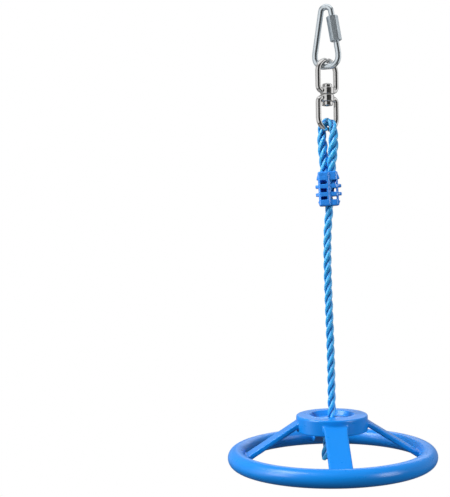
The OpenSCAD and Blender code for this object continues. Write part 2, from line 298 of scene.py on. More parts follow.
def iso(f, lo, hi, h, relax=2):
    """The surface f = 0 as quads (surface nets), with its vertices moved onto the true surface."""
    ax = [np.arange(lo[k] - h, hi[k] + 2 * h, h, dtype=np.float32) for k in range(3)]
    shape = tuple(len(a) for a in ax)
    F = np.empty(shape, np.float32)
    for i in range(0, shape[0], 24):
        X, Y, Z = np.meshgrid(ax[0][i : i + 24], ax[1], ax[2], indexing="ij")
        F[i : i + 24] = f(X, Y, Z)
    F[np.abs(F) < 1e-6] = 1e-6
    inside = F < 0
    cells = tuple(n - 1 for n in shape)
    total = np.zeros(cells + (3,), np.float32)
    count = np.zeros(cells, np.uint8)
    edges = []
    for d in range(3):
        sl0 = [slice(None)] * 3
        sl1 = [slice(None)] * 3
        sl0[d], sl1[d] = slice(0, -1), slice(1, None)
        a, b = inside[tuple(sl0)], inside[tuple(sl1)]
        i, j, k = np.nonzero(a != b)
        pos = np.stack([i, j, k], 1)
        keep = np.ones(len(pos), bool)
        for e in range(3):
            if e != d:
                keep &= (pos[:, e] > 0) & (pos[:, e] < shape[e] - 1)
        pos = pos[keep]
        nxt = pos.copy()
        nxt[:, d] += 1
        f0, f1 = F[tuple(pos.T)], F[tuple(nxt.T)]
        point = pos.astype(np.float32)
        point[:, d] += f0 / (f0 - f1)
        flip = inside[tuple(pos.T)]
        p, q = [e for e in range(3) if e != d]
        quad = []
        for dp, dq in ((-1, -1), (0, -1), (0, 0), (-1, 0)):
            c = pos.copy()
            c[:, p] += dp
            c[:, q] += dq
            quad.append(c)
            np.add.at(total, tuple(c.T), point)
            np.add.at(count, tuple(c.T), 1)
        edges.append((quad, flip if d != 1 else ~flip))
    index = np.full(cells, -1, np.int64)
    used = np.nonzero(count)
    index[used] = np.arange(len(used[0]))
    v = total[used] / count[used][:, None] * h + np.array([a[0] for a in ax], np.float32)
    quads = []
    for quad, flip in edges:
        q = np.stack([index[tuple(c.T)] for c in quad], 1)
        q[~flip] = q[~flip][:, ::-1]
        quads.append(q)
    quads = np.vstack(quads)
    v = v.astype(np.float64)

    def project(v, times, most):
        for _ in range(times):
            e = 0.02
            g = np.stack(
                [
                    (f(*(v + e * np.eye(3)[k]).T.astype(np.float64)) - f(*(v - e * np.eye(3)[k]).T.astype(np.float64))) / (2 * e)
                    for k in range(3)
                ],
                1,
            )
            d = f(*v.T)
            step = -(d / np.maximum((g * g).sum(1), 0.2))[:, None] * g
            length = np.linalg.norm(step, axis=1)
            step *= np.minimum(1, most / np.maximum(length, 1e-9))[:, None]
            v = v + step
        return v

    v = project(v, 2, 0.5 * h)
    ends = np.vstack([quads[:, [0, 1]], quads[:, [1, 2]], quads[:, [2, 3]], quads[:, [3, 0]]])
    for _ in range(relax):
        s = np.zeros_like(v)
        c = np.zeros(len(v))
        for a, b in ((0, 1), (1, 0)):
            for k in range(3):
                s[:, k] += np.bincount(ends[:, a], v[ends[:, b], k], len(v))
            c += np.bincount(ends[:, a], minlength=len(v))
        v = project(0.5 * v + 0.5 * s / np.maximum(c, 1)[:, None], 2, 0.4 * h)
    return v, quads


def solid(name, f, lo, hi, h, relax=2):
    v, q = iso(f, lo, hi, h, relax)
    return to_object(name, v, q)


def turned(x, y, yaw):
    a = math.radians(yaw)
    return x * math.cos(a) + y * math.sin(a), y * math.cos(a) - x * math.sin(a)


def rounded_rect(x, y, w, d, r):
    """Signed distance to a w by d rectangle with corner radius r, centred."""
    qx, qy = np.abs(x) - w / 2 + r, np.abs(y) - d / 2 + r
    return np.hypot(np.maximum(qx, 0), np.maximum(qy, 0)) + np.minimum(np.maximum(qx, qy), 0) - r


def rod_distance(x, y, w, line, closed=False):
    """Distance in 3D to a line drawn in the x, y plane, with w the third coordinate."""
    best = None
    for a, b in zip(line[:-1], line[1:]):
        ex, ey = b[0] - a[0], b[1] - a[1]
        t = np.clip(((x - a[0]) * ex + (y - a[1]) * ey) / max(ex * ex + ey * ey, 1e-9), 0, 1)
        d = (x - a[0] - ex * t) ** 2 + (y - a[1] - ey * t) ** 2
        best = d if best is None else np.minimum(best, d)
    return np.sqrt(best + w * w)


# ---------------------------------------------------------------- materials


def new_material(name):
    m = bpy.data.materials.new(name)
    m.use_nodes = True
    nt = m.node_tree
    for n in list(nt.nodes):
        nt.nodes.remove(n)
    out = nt.nodes.new("ShaderNodeOutputMaterial")
    bsdf = nt.nodes.new("ShaderNodeBsdfPrincipled")
    nt.links.new(bsdf.outputs["BSDF"], out.inputs["Surface"])
    return m, nt, bsdf


def node(nt, kind, **values):
    n = nt.nodes.new(kind)
    for k, v in values.items():
        if k in n.inputs:
            n.inputs[k].default_value = v
        else:
            setattr(n, k, v)
    return n


def coords(nt, scale=(1, 1, 1), rotation=(0, 0, 0), source="Object"):
    tc = nt.nodes.new("ShaderNodeTexCoord")
    mp = nt.nodes.new("ShaderNodeMapping")
    mp.inputs["Scale"].default_value = scale
    mp.inputs["Rotation"].default_value = rotation
    nt.links.new(tc.outputs[source], mp.inputs["Vector"])
    return mp.outputs["Vector"]


def noise(nt, vector, scale, detail=4.0, rough=0.5, distortion=0.0):
    n = nt.nodes.new("ShaderNodeTexNoise")
    n.inputs["Scale"].default_value = scale
    n.inputs["Detail"].default_value = detail
    n.inputs["Roughness"].default_value = rough
    n.inputs["Distortion"].default_value = distortion
    nt.links.new(vector, n.inputs["Vector"])
    return n.outputs["Fac"]


def ramp(nt, fac, stops, interpolation="LINEAR"):
    r = nt.nodes.new("ShaderNodeValToRGB")
    r.color_ramp.interpolation = interpolation
    while len(r.color_ramp.elements) < len(stops):
        r.color_ramp.elements.new(0.5)
    for e, (pos, col) in zip(r.color_ramp.elements, stops):
        e.position = pos
        e.color = col if len(col) == 4 else (*col, 1.0)
    nt.links.new(fac, r.inputs["Fac"])
    return r.outputs["Color"]


def map_range(nt, value, a, b, c, d):
    n = nt.nodes.new("ShaderNodeMapRange")
    n.inputs["From Min"].default_value = a
    n.inputs["From Max"].default_value = b
    n.inputs["To Min"].default_value = c
    n.inputs["To Max"].default_value = d
    nt.links.new(value, n.inputs["Value"])
    return n.outputs["Result"]


def math_node(nt, op, a, b=None):
    n = nt.nodes.new("ShaderNodeMath")
    n.operation = op
    for i, v in enumerate((a, b)):
        if v is None:
            continue
        if isinstance(v, (int, float)):
            n.inputs[i].default_value = v
        else:
            nt.links.new(v, n.inputs[i])
    return n.outputs["Value"]


def bump(nt, bsdf, height, distance, strength=1.0, after=None):
    b = nt.nodes.new("ShaderNodeBump")
    b.inputs["Distance"].default_value = distance
    b.inputs["Strength"].default_value = strength
    nt.links.new(height, b.inputs["Height"])
    if after is not None:
        nt.links.new(after, b.inputs["Normal"])
    nt.links.new(b.outputs["Normal"], bsdf.inputs["Normal"])
    return b.outputs["Normal"]


def moulded_plastic(name, colour, dark, roughness=0.24):
    m, nt, bsdf = new_material(name)
    v = coords(nt)
    broad = noise(nt, v, 9.0, 3.0, 0.5)
    nt.links.new(ramp(nt, broad, [(0.3, dark), (0.7, colour)]), bsdf.inputs["Base Color"])
    flow = noise(nt, coords(nt, (60, 60, 160)), 1.0, 4.0, 0.6)
    fine = noise(nt, v, 1400.0, 2.0, 0.6)
    scuff = noise(nt, coords(nt, (220, 900, 260)), 1.0, 5.0, 0.7, 0.4)
    rough = math_node(nt, "ADD", map_range(nt, flow, 0.35, 0.7, roughness - 0.03, roughness + 0.04), map_range(nt, scuff, 0.62, 0.75, 0.0, 0.06))
    nt.links.new(rough, bsdf.inputs["Roughness"])
    h = math_node(nt, "ADD", math_node(nt, "MULTIPLY", fine, 0.25), math_node(nt, "MULTIPLY", flow, 1.0))
    bump(nt, bsdf, h, 0.000012, 0.4)
    bsdf.inputs["IOR"].default_value = 1.45
    return m


def steel(name, colour, dark, roughness, brushed=(300, 300, 40), spots=0.0, metallic=1.0):
    m, nt, bsdf = new_material(name)
    v = coords(nt)
    broad = noise(nt, v, 60.0, 4.0, 0.6)
    nt.links.new(ramp(nt, broad, [(0.32, dark), (0.68, colour)]), bsdf.inputs["Base Color"])
    bsdf.inputs["Metallic"].default_value = metallic
    smear = noise(nt, v, 90.0, 3.0, 0.5, 0.4)
    grain = noise(nt, coords(nt, brushed), 12.0, 3.0, 0.6)
    rough = math_node(nt, "ADD", map_range(nt, smear, 0.35, 0.7, roughness * 0.85, roughness * 1.2), map_range(nt, grain, 0.5, 0.75, 0.0, spots))
    nt.links.new(rough, bsdf.inputs["Roughness"])
    h = math_node(nt, "ADD", math_node(nt, "MULTIPLY", grain, 0.5), math_node(nt, "MULTIPLY", smear, 0.5))
    bump(nt, bsdf, h, 0.0000005, 0.3)
    return m


def rope_material(name):
    m, nt, bsdf = new_material(name)
    uv = coords(nt, (1, 1, 1), source="UV")
    # u runs round a strand, v along it in mm; the fibres lie against the lay of the strand
    sep = nt.nodes.new("ShaderNodeSeparateXYZ")
    nt.links.new(uv, sep.inputs["Vector"])
    comb = nt.nodes.new("ShaderNodeCombineXYZ")
    nt.links.new(math_node(nt, "MULTIPLY", sep.outputs["X"], 46.0), comb.inputs["X"])
    nt.links.new(math_node(nt, "MULTIPLY", sep.outputs["Y"], 0.10), comb.inputs["Y"])
    fibre = noise(nt, comb.outputs["Vector"], 1.0, 3.0, 0.6)
    comb2 = nt.nodes.new("ShaderNodeCombineXYZ")
    nt.links.new(math_node(nt, "MULTIPLY", sep.outputs["X"], 120.0), comb2.inputs["X"])
    nt.links.new(math_node(nt, "MULTIPLY", sep.outputs["Y"], 0.35), comb2.inputs["Y"])
    hair = noise(nt, comb2.outputs["Vector"], 1.0, 2.0, 0.5)
    both = math_node(nt, "ADD", math_node(nt, "MULTIPLY", fibre, 0.6), math_node(nt, "MULTIPLY", hair, 0.4))
    lit = ramp(nt, both, [(0.28, (0.002, 0.17, 0.60)), (0.50, (0.014, 0.44, 0.95)), (0.70, (0.22, 0.76, 1.0))])
    # painted shade: the base colour darkens, turning a dull blue, where a strand faces in towards the others
    at = nt.nodes.new("ShaderNodeAttribute")
    at.attribute_name = "outward"
    painted_groove_shade = ramp(nt, at.outputs["Fac"], [(0.32, (0.16, 0.32, 0.58)), (0.84, (1, 1, 1))])
    mix = nt.nodes.new("ShaderNodeMix")
    mix.data_type, mix.blend_type = "RGBA", "MULTIPLY"
    mix.inputs["Factor"].default_value = 1.0
    nt.links.new(lit, mix.inputs[6])
    nt.links.new(painted_groove_shade, mix.inputs[7])
    nt.links.new(mix.outputs[2], bsdf.inputs["Base Color"])
    nt.links.new(map_range(nt, hair, 0.3, 0.7, 0.26, 0.42), bsdf.inputs["Roughness"])
    bsdf.inputs["IOR"].default_value = 1.62
    bump(nt, bsdf, both, 0.00035, 0.8)
    bsdf.inputs["Sheen Weight"].default_value = 0.12
    return m


MAT = {
    "zinc": steel("zinc_plate", (0.69, 0.755, 0.80), (0.61, 0.675, 0.725), 0.19, (200, 200, 200), 0.02, 0.90),
    "zinc_nut": steel("zinc_plate_turned", (0.66, 0.74, 0.80), (0.58, 0.66, 0.725), 0.25, (200, 200, 200), 0.03, 0.70),
    "stainless": steel("polished_stainless", (0.66, 0.655, 0.65), (0.60, 0.595, 0.59), 0.13, (700, 700, 60), 0.02),
    "rope": rope_material("laid_rope"),
    "clamp": moulded_plastic("clamp_plastic", (0.036, 0.285, 0.90), (0.030, 0.255, 0.84), 0.19),
    "wheel": moulded_plastic("wheel_plastic", (0.0036, 0.246, 0.80), (0.0030, 0.230, 0.77), 0.30),
}

# ---------------------------------------------------------------- the rope

LOOP = [
    (-5.3, 2.6, -206), (-5.3, 2.6, -199), (-5.1, 2.6, -192), (-5.1, 2.75, -184),
    (-5.5, 3.1, -176), (-6, 3.7, -168), (-6.5, 4.25, -160), (-6.9, 4.8, -153),
    (-6.95, 5.25, -147), (-6.95, 5.4, -142.25), (-6.4, 5, -138.9), (-4.9, 3.85, -136.1),
    (-2.65, 2.05, -134.2), (0, 0, -133.5), (2.65, -2.05, -134.2), (4.9, -3.85, -136.1),
    (6.4, -5, -138.9), (6.95, -5.4, -142.25), (6.95, -5.25, -147), (6.9, -4.8, -153),
    (6.5, -4.25, -160), (6, -3.7, -168), (5.1, -3.1, -176), (4.3, -2.75, -184),
    (3.9, -2.6, -192), (3.9, -2.6, -200),
]
STANDING = [
    (3.4, -2.6, -207), (2, -2, -214), (1, -1, -221),
    (0.6, -0.2, -228), (0.75, 0, -234), (0.2, 0, -241), (-0.8, 0, -252), (-1.8, 0, -266),
    (-2.4, 0, -285), (-2.5, 0, -310), (-2, 0, -340), (-1.2, 0, -370),
    (-0.5, 0, -400), (-0.1, 0, -430), (0, 0, -451.8), (0, 0, -464),
]
# how far the lay opens, by height along the loop
OPEN_LAY = [
    (-206, 1.0), (-199, 1.0), (-192, 1.05), (-184, 1.11), (-176, 1.18), (-168, 1.23), (-160, 1.25),
    (-153, 1.17), (-147, 1.05), (-142.25, 1.0), (-133, 1.0),
]
JOIN_Z = -464.0
TAIL_END = (-8.8, 1.6, -536.8)


def laid_rope(name, line, phase, first, sides=40, pitch=ROPE_PITCH, melt_end=False, squeeze=None):
    """A three-strand rope along line: three tubes laid right-handed. Returns the object and the phase at its end."""
    step = np.linalg.norm(np.diff(line, axis=0), axis=1)
    s = np.concatenate([[0], np.cumsum(step)])
    t, u, v = frames(line, first)
    hold, strand = 2.52, 2.42
    verts, faces, uvs = [], [], []
    yarns = 9
    n = len(line)
    scale = np.ones(n) if squeeze is None else squeeze(s)
    out = []
    for k in range(3):
        a = phase + 2 * math.pi * (s / pitch + k / 3)
        e1 = np.cos(a)[:, None] * u + np.sin(a)[:, None] * v
        c = line + (hold * scale)[:, None] * e1
        T = tangents(c)
        e1 = e1 - (e1 * T).sum(1)[:, None] * T
        e1 /= np.linalg.norm(e1, axis=1)[:, None]
        e2 = np.cross(T, e1)
        slope = 2 * math.pi * hold / pitch / strand
        phi = np.linspace(0, 2 * math.pi, sides, endpoint=False)
        lay = yarns * (phi[None, :] + slope * s[:, None])
        r = strand * scale[:, None] * (1 + 0.040 * (np.abs(np.cos(lay / 2)) - 0.6))
        ring = c[:, None, :] + r[..., None] * (np.cos(phi)[None, :, None] * e1[:, None, :] + np.sin(phi)[None, :, None] * e2[:, None, :])
        base = len(verts) * 1
        ring = ring.reshape(-1, 3)
        base = sum(len(x) for x in verts)
        verts.append(ring)
        uu = (phi[None, :] + slope * s[:, None]) / (2 * math.pi) + k * 0.37
        out.append(np.broadcast_to(0.5 + 0.5 * np.cos(phi)[None, :], (n, sides)).ravel())
        uvs.append(np.stack([uu.ravel(), (s[:, None] + 0 * phi[None, :] + 31 * k).ravel()], 1))
        faces += tube_faces(n, sides, base)
    ob = to_object(name, np.vstack(verts), faces, uv=np.vstack(uvs))
    ob.data.materials.append(MAT["rope"])
    # how far each point faces out of the rope, which drives the painted shade between the strands
    layer = ob.data.attributes.new("outward", "FLOAT", "POINT")
    layer.data.foreach_set("value", np.concatenate(out).astype(np.float32))
    end = phase + 2 * math.pi * s[-1] / pitch
    direction = math.cos(end) * u[-1] + math.sin(end) * v[-1]
    return ob, direction, float(s[-1])


def overhand(top, bottom, d, spare):
    """The centreline of a hand-tight overhand knot between two points one above the other: a long trefoil, drawn tight with its strands kept d apart."""
    t = np.linspace(-2.12, 2.12, 400)
    p = np.stack([t**3 - 3 * t, t**4 - 4 * t**2 + 1.0, -(t**5 - 10 * t)], 1)
    p *= np.array([4.6, 4.6, 1.15])
    mid = (np.asarray(top, float) + np.asarray(bottom, float)) / 2
    p += mid
    length = spare
    n = 110
    p = np.vstack([np.asarray(top, float) + np.array([0, 0, 3.0]), p, np.asarray(bottom, float) - np.array([0, 0, 3.0])])
    p = resample(p, np.linalg.norm(np.diff(p, axis=0), axis=1).sum() / (n - 1))[:n]
    n = len(p)
    start = np.linalg.norm(np.diff(p, axis=0), axis=1).sum()
    ii, jj = np.triu_indices(n, 2)
    a, b = np.asarray(top, float), np.asarray(bottom, float)
    rounds = 1400
    for k in range(rounds):
        w = min(1.0, k / (0.75 * rounds))
        h = (start * (1 - w) + length * w) / (n - 1)
        for _ in range(2):
            e = p[1:] - p[:-1]
            L = np.linalg.norm(e, axis=1)[:, None]
            c = 0.5 * (1 - h / L) * e
            p[:-1] += 0.5 * c
            p[1:] -= 0.5 * c
        mid = 0.5 * (p[:-2] + p[2:])
        p[1:-1] += 0.12 * (mid - p[1:-1])
        far = (jj - ii) * h > 1.45 * d
        i, j = ii[far], jj[far]
        e = p[j] - p[i]
        L = np.linalg.norm(e, axis=1)
        close = L < d
        if close.any():
            i, j, e, L = i[close], j[close], e[close], L[close]
            push = (0.28 * (d - L) / np.maximum(L, 1e-6))[:, None] * e
            for q in range(3):
                p[:, q] += np.bincount(j, push[:, q], n) - np.bincount(i, push[:, q], n)
        p[0], p[-1] = a, b
        p[1, :2], p[2, :2] = a[:2], p[2, :2] * 0.5 + a[:2] * 0.5
    return p


def make_rope():
    step = 1.0 if FINE else 2.0
    sides = 40 if FINE else 20
    upper = round_path(LOOP + STANDING, step)
    first = (0.83, -0.55, 0.0)
    # the two legs of the loop are slack, so their lay opens and they look fatter than the pulled rope
    in_loop = np.linalg.norm(np.diff(upper, axis=0), axis=1).cumsum() < 148
    in_loop = np.concatenate([[True], in_loop])
    fat = np.where(in_loop, np.interp(upper[:, 2], *zip(*OPEN_LAY)), 1.0)
    ob, direction, length = laid_rope("rope_upper", upper, ROPE_PHASE, first, sides, squeeze=lambda s: fat)
    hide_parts("rope_eye_loop", "rope_standing", "rope_neck")
    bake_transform(ob)
    knot = overhand((0, 0, -497.3), (-6.0, 1.0, -514.8), 9.3, 104.0)
    head = resample(np.array([(0, 0, JOIN_Z), (0, 0, -484), (0, 0, -496.8)], float), step)
    tail = resample(np.array([(-6.4, 1.1, -517.8), (-7.5, 1.35, -525.5), (-8.5, 1.52, -532.6), TAIL_END], float), step)
    lower = round_path(np.vstack([head[::6], knot[1::3], tail[::4], tail[-1:]]), step)
    ob2, _, length2 = laid_rope("rope_lower", lower, 0.0, direction, sides)
    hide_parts("rope_through_hub", "rope_stopper_knot", "rope_tail")
    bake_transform(ob2)
    return length, length2


ROPE_PHASE = 0.0

# ---------------------------------------------------------------- the rope's two-half clamp


def clamp_solid(side):
    top, bottom, mid = -193.0, -234.0, -213.5
    rows = [(-208.1, -203.3), (-217.7, -212.9), (-226.6, -222.5)]
    lean = math.radians(-2.5)

    def slab(x, y, z, w, d, r, z0, z1, edge):
        a = rounded_rect(x, y, w - 2 * edge, d - 2 * edge, max(r - edge, 0.5))
        b = np.abs(z - (z0 + z1) / 2) - (z1 - z0) / 2 + edge
        return np.hypot(np.maximum(a, 0), np.maximum(b, 0)) + np.minimum(np.maximum(a, b), 0) - edge

    def shoulder(x, y, z, w, d, z0, z1, slope):
        """A band whose sides lean in towards its outer end, z1."""
        way = 1 if z1 > z0 else -1
        band = slab(x, y, z, w, d, 7, min(z0, z1), max(z0, z1), 1.1)
        a = math.radians(slope)
        side_plane = (np.abs(x) - w / 2) * math.cos(a) + ((z - z0) * way - 0.8) * math.sin(a)
        return smax(band, side_plane, 1.6)

    def f(x, y, z):
        x, z = x * math.cos(lean) - (z - mid) * math.sin(lean), mid + x * math.sin(lean) + (z - mid) * math.cos(lean)
        d = slab(x, y, z, 23.5, 18, 4, bottom + 0.6, top - 0.6, 0.8)
        d = smin(d, shoulder(x, y, z, 28.4, 17.2, rows[0][1] + 0.8, top, 22), 0.5)
        d = smin(d, shoulder(x, y, z, 27.2, 17.2, rows[2][0] - 1.2, bottom, 26), 0.5)
        d = smin(d, slab(x, y, z, 31, 15.6, 6, rows[1][1] + 0.4, rows[0][0] - 0.4, 1.0), 0.5)
        d = smin(d, slab(x, y, z, 31, 15.6, 6, rows[2][1] + 0.4, rows[1][0] - 0.4, 1.0), 0.5)
        # the raised panel round the rope, with a shallow round mark near its top
        panel = slab(x + 5.05, y - side * 3.4, z, 13.9, 14.8, 2.9, bottom, top, 1.9)
        d = smin(d, panel, 0.35)
        mark = np.hypot(x + 5.9, z + 198.0)
        d = smax(d, -smax(mark - 1.7, 10.55 - np.abs(y), 0.2), 0.25)
        d = smax(d, -slab(x, y, z, 20.8, 15.4, 6, bottom + 4.5, top + 6, 0.5), 0.6)
        d = smax(d, -(np.hypot(x, y) - 5.45), 0.7)
        for z0, z1 in rows:
            hole = slab(x - 6.15, y - side * 10.0, z, 7.4, 8.4, 0.9, z0 + 0.1, z1 - 0.1, 0.7)
            d = smax(d, -hole, 0.45)
            if side < 0:
                hole = slab(x + 5.65, y - side * 10.0, z, 7.7, 8.4, 0.9, z0 + 0.1, z1 - 0.1, 0.7)
                d = smax(d, -hole, 0.45)
        return smax(d, -side * y + 0.05, 0.25)

    return f


def make_clamp():
    h = 0.42 if FINE else 0.8
    made = []
    for side, word in ((-1, "front"), (1, "back")):
        lo = (-16.8, -11.4 if side < 0 else -0.4, -235.2)
        hi = (16.8, 0.4 if side < 0 else 11.4, -191.8)
        ob = solid(f"rope_clamp_{word}_shell", clamp_solid(side), lo, hi, h)
        ob.data.materials.append(MAT["clamp"])
        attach(ob, "rope")
        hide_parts(f"rope_clamp_{word}")
        made.append(ob)
    return made


# ---------------------------------------------------------------- the wheel

HUB_OUTLINE = soften(
    [
        (5.4, -2.9), (6.6, -2.6), (20.6, -5.4), (22.6, -5.6), (26.7, 0.45), (28.3, 0.45), (29.4, 0), (HUB_R, 0),
        (HUB_R, -HUB_H), (HUB_R - 3.2, -HUB_H), (HUB_R - 3.2, -4.2),
        (29, -4.2), (25, -9), (9.5, -8.6), (9.5, -12), (5.4, -12),
    ],
    [0.4, 0.6, 2.0, 1.2, 0.7, 0.5, 0.5, 2.0, 1.0, 1.0, 1.5, 1.5, 1.5, 1.5, 0.8, 0.5],
)
RIB_OUTLINE = [(9.3, -8.0), (25, -8.4), (29, -3.4), (HUB_R - 2.6, -3.4), (HUB_R - 2.6, -13), (16.4, -13), (14.6, -11.6), (9.3, -11.6)]


def wheel_function():
    table = Table(HUB_OUTLINE, (0, -24), (50, 5), 0.1)
    slope = math.radians(SPOKE_SLOPE)
    cs, sn = math.cos(slope), math.sin(slope)
    reach = (RIM_R - SPOKE_X0) * cs - (RIM_Z - SPOKE_Z0) * sn

    def f(x, y, z):
        shape = np.broadcast(x, y, z).shape
        x, y, z = (np.broadcast_to(np.asarray(q, float), shape).ravel() for q in (x, y, z))
        x, y = turned(x, y, WHEEL_YAW)
        r = np.hypot(x, y)
        ring = np.hypot(r - RIM_R, z - RIM_Z) - RIM_TUBE
        angle = np.arctan2(y, x)
        fold = angle - np.round(angle / (math.pi / 2)) * (math.pi / 2)
        px, py = r * np.cos(fold), r * np.sin(fold)
        along = (px - SPOKE_X0) * cs - (z - SPOKE_Z0) * sn
        up = (px - SPOKE_X0) * sn + (z - SPOKE_Z0) * cs
        # a broad flat bar with rounded edges, which widens gently into the hub and the rim
        flare = 1.2 * np.exp(-np.clip(along + 1.5, 0, None) / 4.0) + 1.0 * np.exp(-np.clip(reach - 10 - along, 0, None) / 3.5)
        bar = rounded_rect(py, up + SPOKE_T / 2, SPOKE_W + 2 * flare, SPOKE_T, 1.5)
        bar = np.maximum(bar, np.maximum(41.0 - px, along - reach))
        d = smin(ring, bar, 2.2)
        m = r < 52
        if m.any():
            zz = z[m] - HUB_TOP
            hub = table(r[m], zz)
            fold8 = angle[m] - np.round(angle[m] / (math.pi / 4)) * (math.pi / 4)
            qx, qy = r[m] * np.cos(fold8), r[m] * np.sin(fold8)
            rib = smax(np.abs(qy) - 1.1, outline_distance(qx, zz, RIB_OUTLINE), 0.6)
            hub = smin(hub, rib, 0.9)
            d = d.copy()
            d[m] = smin(d[m], hub, 1.6)
        return d.reshape(shape)

    return f


def make_wheel():
    ob = solid("wheel_moulding", wheel_function(), (-125.6, -125.6, -542.8), (125.6, 125.6, -482.2), 0.97 if FINE else 1.9)
    ob.data.materials.append(MAT["wheel"])
    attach(ob, "wheel")
    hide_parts("wheel_hub", "wheel_rim", "wheel_spoke_front", "wheel_spoke_right", "wheel_spoke_back", "wheel_spoke_left")
    return ob


# ---------------------------------------------------------------- quick link


def upright(points, yaw):
    """Points (across, up, out) of an upright plane turned by yaw, into the row frame."""
    p = np.asarray(points, float)
    a = math.radians(yaw)
    x, up, out = p[:, 0], p[:, 1], p[:, 2]
    # rotate([90, 0, 0]) takes z to -y
    return np.stack([x * math.cos(a) + out * math.sin(a), x * math.sin(a) - out * math.cos(a), up], 1)


def arc(cx, cy, r, a0, a1, n):
    return [(cx + r * math.cos(math.radians(a0 + (a1 - a0) * k / n)), cy + r * math.sin(math.radians(a0 + (a1 - a0) * k / n))) for k in range(n + 1)]


def link_geometry():
    corner_y = -LINK_DEPTH + LINK_CORNER_R
    ease_y = corner_y + 2
    ease_cx = LINK_HW - LINK_EASE_R
    drop = LINK_TOP_C - ease_y
    slant = math.degrees(math.asin((LINK_EASE_R - LINK_TOP_R) / math.hypot(drop, ease_cx)) - math.atan2(-ease_cx, drop))
    c, s = math.cos(math.radians(slant)), math.sin(math.radians(slant))
    p0 = (LINK_TOP_R * c, LINK_TOP_C + LINK_TOP_R * s)
    p1 = (ease_cx + LINK_EASE_R * c, ease_y + LINK_EASE_R * s)
    return corner_y, ease_y, ease_cx, slant, p0, p1


